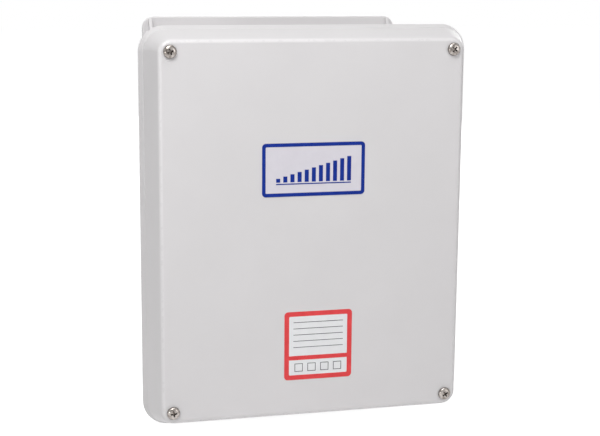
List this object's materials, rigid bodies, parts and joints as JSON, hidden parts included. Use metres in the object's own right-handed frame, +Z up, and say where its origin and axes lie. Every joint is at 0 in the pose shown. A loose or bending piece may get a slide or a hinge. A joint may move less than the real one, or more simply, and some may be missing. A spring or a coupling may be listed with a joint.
{
  "type": "fence energizer",
  "caption": "Fence energizer in a grey moulded wall case: a raised cover with captive corner screws over a deep housing that holds the pulse circuit, with cable glands below.",
  "frame": {"origin": "middle of the housing's back face, which lies against the wall", "axes": "+X to the viewer's right, +Y into the wall, +Z up; the cover faces -Y"},
  "size_m": [0.2598, 0.1573, 0.3177],
  "materials": {
    "moulded_grey": "light grey moulded fibre-filled polymer, satin",
    "stainless_steel": "polished stainless screws",
    "brass": "turned brass",
    "black_rubber": "matt",
    "white_nylon": "natural nylon",
    "zinc_plated_steel": "bright zinc",
    "laminated_steel": "varnished laminations",
    "winding_tape": "yellow polyester tape",
    "can_aluminium": "drawn aluminium",
    "board_laminate": "green solder resist",
    "terminal_green": "moulded",
    "black_plastic": "moulded",
    "ceramic": "unglazed ceramic",
    "fuse_glass": "clear tube with plated caps",
    "red_insulation": "extruded",
    "white_insulation": "extruded",
    "label_film": "plain pale vinyl film",
    "label_blue": "blue print on vinyl film",
    "label_red": "red print on vinyl film"
  },
  "bodies": {
    "housing": {"rear_housing": "moulded_grey", "cover_gasket": "black_rubber", "threaded_insert_1": "brass", "threaded_insert_2": "brass", "threaded_insert_3": "brass", "threaded_insert_4": "brass", "chassis_plate": "zinc_plated_steel", "chassis_screw_1": "zinc_plated_steel", "chassis_screw_2": "zinc_plated_steel", "chassis_screw_3": "zinc_plated_steel", "chassis_screw_4": "zinc_plated_steel", "transformer_core": "laminated_steel", "transformer_winding": "winding_tape", "core_bolt_1": "zinc_plated_steel", "core_bolt_2": "zinc_plated_steel", "storage_capacitor": "can_aluminium", "capacitor_strap": "zinc_plated_steel", "strap_screw_1": "zinc_plated_steel", "strap_screw_2": "zinc_plated_steel", "circuit_board": "board_laminate", "board_support_1": "white_nylon", "board_support_2": "white_nylon", "board_support_3": "white_nylon", "board_support_4": "white_nylon", "supply_terminal_block": "terminal_green", "output_terminal_block": "terminal_green", "fuse_holder": "black_plastic", "fuse": "fuse_glass", "heat_sink": "can_aluminium", "thyristor": "black_plastic", "bridge_rectifier": "black_plastic", "charging_resistor": "ceramic", "capacitor_lead_1": "red_insulation", "capacitor_lead_2": "red_insulation", "primary_lead_1": "red_insulation", "primary_lead_2": "red_insulation", "output_lead_1": "white_insulation", "output_lead_2": "white_insulation", "supply_gland_body": "black_plastic", "supply_gland_lock_nut": "black_plastic", "supply_gland_seal": "black_rubber", "output_gland_body": "black_plastic", "output_gland_lock_nut": "black_plastic", "output_gland_seal": "black_rubber"},
    "cover": {"front_cover": "moulded_grey"},
    "cover_screw_1": {"cover_screw_1": "stainless_steel", "screw_retainer_1": "white_nylon"},
    "cover_screw_2": {"cover_screw_2": "stainless_steel", "screw_retainer_2": "white_nylon"},
    "cover_screw_3": {"cover_screw_3": "stainless_steel", "screw_retainer_3": "white_nylon"},
    "cover_screw_4": {"cover_screw_4": "stainless_steel", "screw_retainer_4": "white_nylon"},
    "supply_gland_nut": {"supply_gland_dome_nut": "black_plastic"},
    "output_gland_nut": {"output_gland_dome_nut": "black_plastic"},
    "supply_terminal_screw_1": {"supply_terminal_screw_1": "zinc_plated_steel"},
    "supply_terminal_screw_2": {"supply_terminal_screw_2": "zinc_plated_steel"},
    "output_terminal_screw_1": {"output_terminal_screw_1": "zinc_plated_steel"},
    "output_terminal_screw_2": {"output_terminal_screw_2": "zinc_plated_steel"}
  },
  "joints": [
    {"name": "cover_lift", "type": "slide", "parent": "housing", "child": "cover", "axis": [0, -1, 0], "range_m": [0, 0.06]},
    {"name": "cover_screw_1_turn", "type": "hinge", "parent": "cover", "child": "cover_screw_1", "pos_m": [-0.11025, -0.154, 0.13825], "axis": [0, -1, 0], "continuous": true},
    {"name": "cover_screw_2_turn", "type": "hinge", "parent": "cover", "child": "cover_screw_2", "pos_m": [0.11025, -0.154, 0.13825], "axis": [0, -1, 0], "continuous": true},
    {"name": "cover_screw_3_turn", "type": "hinge", "parent": "cover", "child": "cover_screw_3", "pos_m": [-0.11025, -0.154, -0.13825], "axis": [0, -1, 0], "continuous": true},
    {"name": "cover_screw_4_turn", "type": "hinge", "parent": "cover", "child": "cover_screw_4", "pos_m": [0.11025, -0.154, -0.13825], "axis": [0, -1, 0], "continuous": true},
    {"name": "supply_gland_turn", "type": "hinge", "parent": "housing", "child": "supply_gland_nut", "pos_m": [0.05, -0.06, -0.15], "axis": [0, 0, -1], "continuous": true},
    {"name": "output_gland_turn", "type": "hinge", "parent": "housing", "child": "output_gland_nut", "pos_m": [-0.05, -0.06, -0.15], "axis": [0, 0, -1], "continuous": true},
    {"name": "supply_terminal_1_turn", "type": "hinge", "parent": "housing", "child": "supply_terminal_screw_1", "pos_m": [0.045, -0.04, -0.093], "axis": [0, -1, 0], "continuous": true},
    {"name": "supply_terminal_2_turn", "type": "hinge", "parent": "housing", "child": "supply_terminal_screw_2", "pos_m": [0.055, -0.04, -0.093], "axis": [0, -1, 0], "continuous": true},
    {"name": "output_terminal_1_turn", "type": "hinge", "parent": "housing", "child": "output_terminal_screw_1", "pos_m": [-0.055, -0.04, -0.093], "axis": [0, -1, 0], "continuous": true},
    {"name": "output_terminal_2_turn", "type": "hinge", "parent": "housing", "child": "output_terminal_screw_2", "pos_m": [-0.045, -0.04, -0.093], "axis": [0, -1, 0], "continuous": true}
  ]
}
